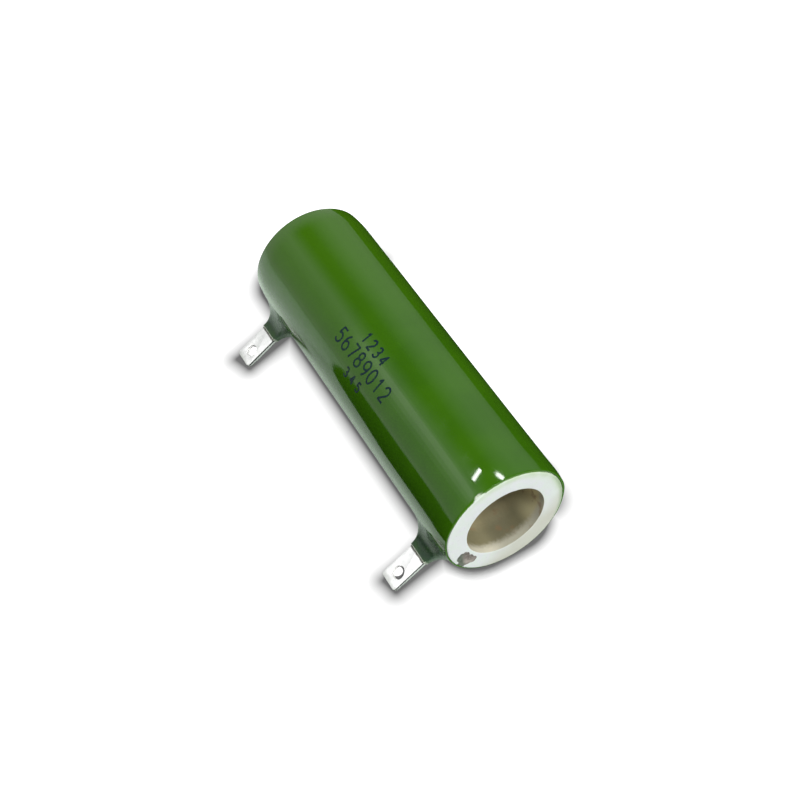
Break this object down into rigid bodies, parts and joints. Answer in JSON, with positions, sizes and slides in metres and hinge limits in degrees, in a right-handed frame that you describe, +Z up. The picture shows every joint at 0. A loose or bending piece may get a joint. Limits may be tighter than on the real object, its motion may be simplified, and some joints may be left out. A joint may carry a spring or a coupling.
{
  "type": "enamelled wirewound resistor",
  "caption": "Tubular wirewound resistor: a ceramic former with a through bore, green vitreous enamel over the winding, and folded strip lugs with holes for wiring.",
  "frame": {"origin": "centre of the bore, halfway along the tube", "axes": "+X along the bore towards the near end, +Z up, lugs leaning down towards -Y as the part lies on a flat surface"},
  "size_m": [0.0896, 0.0393, 0.029],
  "materials": {
    "ceramic": "fired, unglazed",
    "tinned_strip": "hot tinned",
    "resistance_alloy": "drawn, oxidised",
    "braze": "as cooled",
    "green_enamel": "fired, glossy"
  },
  "bodies": {
    "root": {"ceramic_tube": "ceramic", "near_terminal": "tinned_strip", "far_terminal": "tinned_strip", "resistance_wire": "resistance_alloy", "near_braze_bead": "braze", "far_braze_bead": "braze", "enamel_coat": "green_enamel"}
  },
  "joints": []
}
